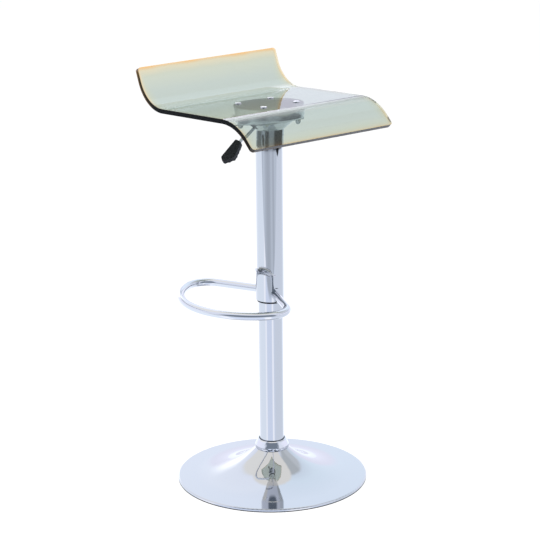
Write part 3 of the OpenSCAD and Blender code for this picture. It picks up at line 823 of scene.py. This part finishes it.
@dataclass(frozen=True)
class PaperFloor:
    """The paper floor: white to the eye, with the stool's soft shadow.

    Attributes:
        light: light that metal mirrors from it.
        half: half its side.
        edge: reach towards the camera past which metal mirrors the unlit yard.
        edge_width: width of the change there.
        paper: its colour in light that falls on things.
        shadowed: diffuse share of what the eye sees of it.
        glow: strength of the white added to that.
        yard: greys past the edge by bearing.
        lit: colours before the edge by bearing.
        strips: middle and half width, in degrees, of the two lamp strips on them.
        strip: linear colour of the strips.
    """

    light: MirrorLight
    half: float = 15.0
    edge: float = 1.25
    edge_width: float = 0.12
    paper: str = "#F2F2F2"
    shadowed: str = "#9C9C9C"
    glow: float = 0.74
    yard: Stops = (
        (0.30, "#C8C8C8"), (0.322, "#C4C4C4"), (0.367, "#D8D8D8"), (0.411, "#C6C6C6"),
        (0.456, "#BCBCBC"), (0.50, "#BEBEBE"), (0.544, "#D2D2D2"), (0.589, "#BDBDBD"),
        (0.633, "#D6D6D6"), (0.70, "#C8C8C8"), (0.84, "#CCCCCC"), (0.88, "#D9D9D9"))
    lit: Stops = (
        (0.00, "#EFF4FF"), (0.11, "#F2F6FF"), (0.17, "#E9F1FD"), (0.34, "#E9F1FD"), (0.42, "#DBE4F8"),
        (0.55, "#DBE4F8"), (0.62, "#D7DEEB"), (0.84, "#D7DEEB"), (0.89, "#EDF3FF"))
    strips: tuple[Span, ...] = ((-45, 4.5), (17, 5.0))
    strip: Colour = (0.98, 1.0, 1.08, 1.0)

    def build(self) -> None:
        """Makes the floor's mesh and its material."""
        half = self.half
        mesh = bpy.data.meshes.new("floor")
        corners = [(-half, -half, 0), (half, -half, 0), (half, half, 0), (-half, half, 0)]
        mesh.from_pydata(corners, [], [(0, 1, 2, 3)])
        floor = bpy.data.objects.new("floor", mesh)
        bpy.context.scene.collection.objects.link(floor)
        material = bpy.data.materials.new("white_paper")
        material.use_nodes = True
        tree = material.node_tree
        tree.nodes.remove(tree.nodes["Principled BSDF"])
        rays = add(tree, "LightPath").outputs
        seen = out(tree, "Math", rays["Is Camera Ray"], rays["Is Transmission Ray"], operation="MAXIMUM")
        shade = out(tree, "BsdfDiffuse", linear(self.shadowed))
        white = out(tree, "Emission", linear("#FFFFFF"), self.glow)
        plain = out(tree, "BsdfDiffuse", linear(self.paper))
        base = out(tree, "MixShader", seen, plain, out(tree, "AddShader", shade, white))
        bounced = out(tree, "Math", rays["Glossy Depth"], 1.0, operation="MINIMUM")
        final = out(tree, "MixShader", bounced, base, self._mirrored(tree))
        tree.links.new(final, tree.nodes["Material Output"].inputs["Surface"])
        mesh.materials.append(material)

    def _mirrored(self, tree: Tree) -> Socket:
        """Gives the light that metal sees.

        Args:
            tree: the floor's tree.

        Returns:
            The output with the light: lit bands up to the edge and the greys of the yard past it.
        """
        share, near = self.light.shot.bearing(tree, object_point(tree))
        past = out(tree, "MapRange", near, self.edge, self.edge + self.edge_width, **SOFT)
        yard = self.light.cooled(tree, out(tree, "ValToRGB", share, stops=self.yard))
        colour = add(tree, "Mix", {0: past, 6: self._bands(tree, share), 7: yard}, **RGBA).outputs[2]
        return out(tree, "Emission", colour, self.light.strength)

    def _bands(self, tree: Tree, share: Socket) -> Socket:
        """Colours the lit floor by bearing: cool white, with the lamp strips.

        Args:
            tree: the floor's tree.
            share: bearing.

        Returns:
            The output with the colour.
        """
        cool = out(tree, "ValToRGB", share, stops=self.lit)
        weight: Any = 0.0
        for middle, half in self.strips:
            away = off(tree, share, 0.5 + middle / 360)
            strip = out(tree, "MapRange", away, half / 360, 2 * half / 360, 1.0, 0.0, **SOFT)
            weight = out(tree, "Math", weight, strip, operation="ADD")
        return add(tree, "Mix", {0: weight, 6: cool, 7: self.strip}, **RGBA).outputs[2]


@dataclass(frozen=True)
class Room:
    """The room: white to the eye, a plain light on what is dull, and its own look in metal.

    Heights are the upward share of a ray's direction. Colours without a hash are linear light.

    Attributes:
        light: light that metal mirrors.
        plain: light on what is dull.
        wall: colour by bearing.
        wall_gain: how many times brighter the wall is than that.
        low: colour under the wall, which starts at low_heights.
        lamp: colour of the lamp, at bearing lamp_at, fading over lamp_widths and lamp_heights.
        left: colour of the grey wall at bearings left_arc, above left_heights.
        right: colours of the grey wall at bearings right_arc, above right_heights, darker above
            shelf_heights.
        ceiling: colour above ceiling_heights.
        behind: colour towards the camera, from reaches behind_reach on, under behind_heights.
    """

    light: MirrorLight
    plain: str = "#E4E6EA"
    wall: Stops = (
        (0.00, "#E1E9F7"), (0.03, "#E8EEFA"), (0.09, "#E8EDF9"), (0.17, "#DDE2F0"), (0.75, "#D5DAE6"),
        (0.85, "#C9D2E0"), (0.93, "#DBE8F5"), (1.0, "#DFE9F7"))
    wall_gain: float = 1.06
    low: Colour = (0.80, 0.81, 0.94, 1.0)
    low_heights: Span = (0.20, 0.31)
    lamp: Colour = (1.3, 1.32, 1.36, 1.0)
    lamp_at: float = 0.062
    lamp_widths: Span = (0.006, 0.035)
    lamp_heights: Span = (0.22, 0.5)
    left: Colour = (0.82, 0.81, 0.79, 1.0)
    left_arc: Arc = Arc(0.10, 0.125, 0.26, 0.32)
    left_heights: Span = (0.5, 0.56)
    right: tuple[Colour, Colour] = ((0.56, 0.59, 0.63, 1.0), (0.48, 0.51, 0.54, 1.0))
    right_arc: Arc = Arc(0.70, 0.76, 0.875, 0.895)
    right_heights: Span = (0.45, 0.52)
    shelf_heights: Span = (0.66, 0.76)
    ceiling: Colour = (0.80, 0.78, 0.75, 1.0)
    ceiling_heights: Span = (0.865, 0.90)
    behind: Colour = (0.17, 0.20, 0.25, 1.0)
    behind_reach: Span = (0.5, 0.75)
    behind_heights: Span = (0.60, 0.75)

    def build(self) -> None:
        """Makes the world."""
        world = bpy.data.worlds.new("room")
        bpy.context.scene.world = world
        world.use_nodes = True
        tree = world.node_tree
        rays = add(tree, "LightPath").outputs
        room = self._mirrored(tree, add(tree, "TexCoord").outputs["Generated"])
        ends = {6: linear(self.plain), 7: room}
        light = add(tree, "Mix", {0: rays["Is Glossy Ray"], **ends}, **RGBA).outputs[2]
        seen = out(tree, "Math", rays["Is Camera Ray"], rays["Is Transmission Ray"], operation="MAXIMUM")
        colour = add(tree, "Mix", {0: seen, 6: light, 7: linear("#FFFFFF")}, **RGBA).outputs[2]
        tree.links.new(colour, tree.nodes["Background"].inputs["Color"])

    def _mirrored(self, tree: Tree, direction: Socket) -> Socket:
        """Gives the room's colour in metal.

        Args:
            tree: the world's tree.
            direction: output with the ray's direction.

        Returns:
            The output with the colour, each surface laid over those before it.
        """
        share, near = self.light.shot.bearing(tree, direction)
        height = add(tree, "SeparateXYZ", {0: direction}).outputs[2]
        wall = add(tree, "ValToRGB", {0: share}, stops=self.wall).outputs[0]
        wall = add(tree, "VectorMath", {0: wall, "Scale": self.wall_gain}, operation="SCALE").outputs[0]
        rise = out(tree, "MapRange", height, *self.low_heights, **SOFT)
        turned = off(tree, share, self.lamp_at)
        across = out(tree, "MapRange", turned, *self.lamp_widths, 1.0, 0.0, **SOFT)
        up = out(tree, "MapRange", height, *self.lamp_heights, 1.0, 0.0, **SOFT)
        lamp = out(tree, "Math", across, up, operation="MULTIPLY")
        left = self._above(tree, self.left_arc.weight(tree, share), height, self.left_heights)
        right = self._above(tree, self.right_arc.weight(tree, share), height, self.right_heights)
        shelf = out(tree, "MapRange", height, *self.shelf_heights, **SOFT)
        shelf = add(tree, "Mix", {0: shelf, 6: self.right[0], 7: self.right[1]}, **RGBA).outputs[2]
        top = out(tree, "MapRange", height, *self.ceiling_heights, **SOFT)
        side = out(tree, "MapRange", near, *self.behind_reach, **SOFT)
        low = out(tree, "MapRange", height, *self.behind_heights, 1.0, 0.0, **SOFT)
        behind = out(tree, "Math", side, low, operation="MULTIPLY")
        room: Any = self.low
        for weight, colour in ((rise, wall), (lamp, self.lamp), (left, self.left), (right, shelf),
                               (top, self.ceiling), (behind, self.behind)):
            room = add(tree, "Mix", {0: weight, 6: room, 7: colour}, **RGBA).outputs[2]
        gain = {0: room, "Scale": self.light.strength}
        return add(tree, "VectorMath", gain, operation="SCALE").outputs[0]

    @staticmethod
    def _above(tree: Tree, weight: Socket, height: Socket, heights: Span) -> Socket:
        """Keeps a weight only above a height."""
        over = out(tree, "MapRange", height, *heights, **SOFT)
        return out(tree, "Math", weight, over, operation="MULTIPLY")


def mirror_only(
    name: str, points: list[Any], faces: list[Any]
) -> tuple[bpy.types.Object, bpy.types.Material]:
    """Makes a stage piece that only glossy rays meet, with an empty material.

    Args:
        name: name of the piece and its material.
        points: its corners.
        faces: corner numbers of each face, counter-clockwise from the lit side.

    Returns:
        The piece and its material, whose tree holds only an output node.
    """
    mesh = bpy.data.meshes.new(name)
    mesh.from_pydata(points, [], faces)
    piece = bpy.data.objects.new(name, mesh)
    bpy.context.scene.collection.objects.link(piece)
    piece.visible_camera = piece.visible_transmission = False
    piece.visible_diffuse = piece.visible_shadow = False
    material = bpy.data.materials.new(name + "_light")
    material.use_nodes = True
    material.node_tree.nodes.remove(material.node_tree.nodes["Principled BSDF"])
    mesh.materials.append(material)
    return piece, material


def light_up(tree: Tree, colour: Any, strength: Any, gone: Socket | None = None) -> None:
    """Gives a stage piece its light, clear from its back and where it is gone.

    Args:
        tree: the tree of its material.
        colour: colour or output of the light.
        strength: strength or output of the light.
        gone: share by which it lets rays pass, if any.
    """
    glow = out(tree, "Emission", colour, strength)
    clear = add(tree, "BsdfTransparent").outputs[0]
    hidden = add(tree, "NewGeometry").outputs["Backfacing"]
    if gone is not None:
        hidden = out(tree, "Math", gone, hidden, operation="MAXIMUM")
    both = out(tree, "MixShader", hidden, glow, clear)
    tree.links.new(both, tree.nodes["Material Output"].inputs["Surface"])


@dataclass(frozen=True)
class Card:
    """A sloping card behind the seat that only mirrors above it show, brightest at its foot.

    Attributes:
        shot: camera behind whose view it hangs.
        sides: its left and right ends along the picture's right.
        foot: reach and height of its lower edge.
        top: reach and height of its upper edge.
        fade_heights: heights over which its extra light fades.
        fade_sides: places to the right over which it fades.
        colour: colour of its light.
        strength: light all over.
        extra: light added where nothing fades.
    """

    shot: Shot
    sides: Span = (-0.35, 0.6)
    foot: Span = (0.5, 0.9)
    top: Span = (1.55, 1.95)
    fade_heights: Span = (1.0, 1.95)
    fade_sides: Span = (0.0, 0.35)
    colour: str = "#F4F4FF"
    strength: float = 1.5
    extra: float = 0.8

    def build(self) -> None:
        """Makes the card and its light."""
        toward, right = self.shot.level_axes()
        left_end, right_end = self.sides
        corners = []
        for side, (reach, height) in ((left_end, self.foot), (right_end, self.foot),
                                      (right_end, self.top), (left_end, self.top)):
            corners.append(side * right - reach * toward + Vector((0, 0, height)))
        card, material = mirror_only("card", corners, [(0, 1, 2, 3)])
        tree = material.node_tree
        height = add(tree, "SeparateXYZ", {0: object_point(tree)}).outputs[2]
        place = {0: object_point(tree), 1: right}
        aside = add(tree, "VectorMath", place, operation="DOT_PRODUCT").outputs["Value"]
        low = out(tree, "MapRange", height, *self.fade_heights, 1.0, 0.0, **SOFT)
        left = out(tree, "MapRange", aside, *self.fade_sides, 1.0, 0.0, **SOFT)
        fade = out(tree, "Math", low, left, operation="MULTIPLY")
        strength = out(tree, "Math", fade, self.extra, self.strength, operation="MULTIPLY_ADD")
        light_up(tree, linear(self.colour), strength)


@dataclass(frozen=True)
class DarkRing:
    """A wide ring that leans outwards, seen only in mirrors above it: the unlit part of the studio.

    It gives the dark stripes under the mount and darkens the seat's left edge.

    Attributes:
        light: light whose strength and cast it takes.
        low: radius and height of its lower circle.
        high: radius and height of its upper circle.
        steps: number of its faces.
        gloom: its greys by bearing.
        foot_heights: height at which it starts, at bearing foot_at and past foot_widths from it.
        foot_edge: height over which it starts.
        tall_arc: bearings at which it keeps its full height.
        top_heights: heights over which it ends at all others.
    """

    light: MirrorLight
    low: Span = (0.565, 0.55)
    high: Span = (0.90, 0.743)
    steps: int = 96
    gloom: Stops = (
        (0.10, "#C8C8C8"), (0.16, "#7C7C7C"), (0.28, "#747474"), (0.31, "#BCBCBC"), (0.36, "#BCBCBC"),
        (0.40, "#484848"), (0.46, "#3C3C3C"), (0.49, "#989898"), (0.57, "#989898"), (0.62, "#181A1A"),
        (0.825, "#181A1A"), (0.86, "#DADADA"))
    foot_at: float = 0.705
    foot_widths: Span = (0.0, 0.05)
    foot_heights: Span = (0.558, 0.5685)
    foot_edge: float = 4 * MM
    tall_arc: Arc = Arc(0.11, 0.14, 0.30, 0.33)
    top_heights: Span = (0.616, 0.632)

    def build(self) -> None:
        """Makes the ring, whose faces look inwards and up, and its light.

        Each point is (radius cos t, radius sin t, height), t a turn in equal steps.
        """
        turn = np.linspace(0, 2 * np.pi, self.steps, endpoint=False)
        circles = [np.column_stack((radius * np.cos(turn), radius * np.sin(turn), np.full_like(turn, z)))
                   for radius, z in (self.low, self.high)]
        here = np.arange(self.steps)
        after = (here + 1) % self.steps
        faces = np.column_stack((here, here + self.steps, after + self.steps, after))
        ring, material = mirror_only("dark_ring", np.vstack(circles).tolist(), faces.tolist())
        self._light(material.node_tree)

    def _light(self, tree: Tree) -> None:
        """Gives the ring its greys and cuts its foot and top.

        Args:
            tree: the tree of its material.
        """
        share, _ = self.light.shot.bearing(tree, object_point(tree))
        height = add(tree, "SeparateXYZ", {0: object_point(tree)}).outputs[2]
        gloom = out(tree, "ValToRGB", share, stops=self.gloom)
        aside = off(tree, share, self.foot_at)
        start = out(tree, "MapRange", aside, *self.foot_widths, *self.foot_heights, **SOFT)
        foot = out(tree, "Math", height, start, operation="SUBTRACT")
        under = out(tree, "MapRange", foot, 0.0, self.foot_edge, 1.0, 0.0, **SOFT)
        short = out(tree, "Math", 1.0, self.tall_arc.weight(tree, share), operation="SUBTRACT")
        over = out(tree, "MapRange", height, *self.top_heights, **SOFT)
        over = out(tree, "Math", over, short, operation="MULTIPLY")
        gone = out(tree, "Math", under, over, operation="MAXIMUM")
        light_up(tree, self.light.cooled(tree, gloom), self.light.strength, gone)


@dataclass(frozen=True)
class SoftLamp:
    """A large soft lamp, which nothing mirrors.

    Attributes:
        turn: degrees from the camera's side to the picture's right.
        reach: level distance from the column.
        height: height over the floor.
        size: side of its square.
        power: power in watts.
        aim_height: height of the point on the column at which it looks.
    """

    name: str
    turn: float
    reach: float
    height: float
    size: float
    power: float
    aim_height: float = 0.5

    def build(self, shot: Shot) -> None:
        """Hangs the lamp.

        Args:
            shot: camera from whose side its turn is measured.
        """
        toward, right = shot.level_axes()
        angle = math.radians(self.turn)
        flat = (math.cos(angle) * toward + math.sin(angle) * right) * self.reach
        data = bpy.data.lights.new(self.name, "AREA")
        data.shape, data.size, data.energy = "SQUARE", self.size, self.power
        lamp = bpy.data.objects.new(self.name, data)
        lamp.location = flat + Vector((0, 0, self.height))
        aim = Vector((0, 0, self.aim_height)) - lamp.location
        lamp.rotation_euler = aim.to_track_quat("-Z", "Y").to_euler()
        lamp.visible_camera = lamp.visible_transmission = lamp.visible_glossy = False
        bpy.context.scene.collection.objects.link(lamp)


@dataclass
class Studio:
    """The photograph's surroundings: floor, room, card, dark ring, and a lamp on either side."""

    shot: Shot
    lamps: tuple[SoftLamp, ...] = (
        SoftLamp("left_lamp", turn=-62, reach=2.6, height=2.2, size=1.3, power=55),
        SoftLamp("right_lamp", turn=75, reach=2.0, height=3.2, size=1.1, power=40),
    )

    def build(self) -> None:
        """Makes the stage pieces in order."""
        light = MirrorLight(self.shot)
        PaperFloor(light).build()
        Room(light).build()
        Card(self.shot).build()
        DarkRing(light).build()
        for lamp in self.lamps:
            lamp.build(self.shot)


def main() -> None:
    """Builds the studio and dresses the stool, sub-assembly by sub-assembly."""
    logging.basicConfig(level=logging.INFO, format="%(name)s: %(message)s")
    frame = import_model()
    bpy.context.scene.view_settings.view_transform = "Standard"
    shot = Shot()
    shot.build()
    Studio(shot).build()
    wardrobe = Wardrobe(frame["nodes"])
    for assembly in (SeatSheet(), SeatMount(), ReleaseLever(), Sleeve(), Spindle(), Base()):
        assembly.dress(wardrobe)


if __name__ == "__main__":
    main()
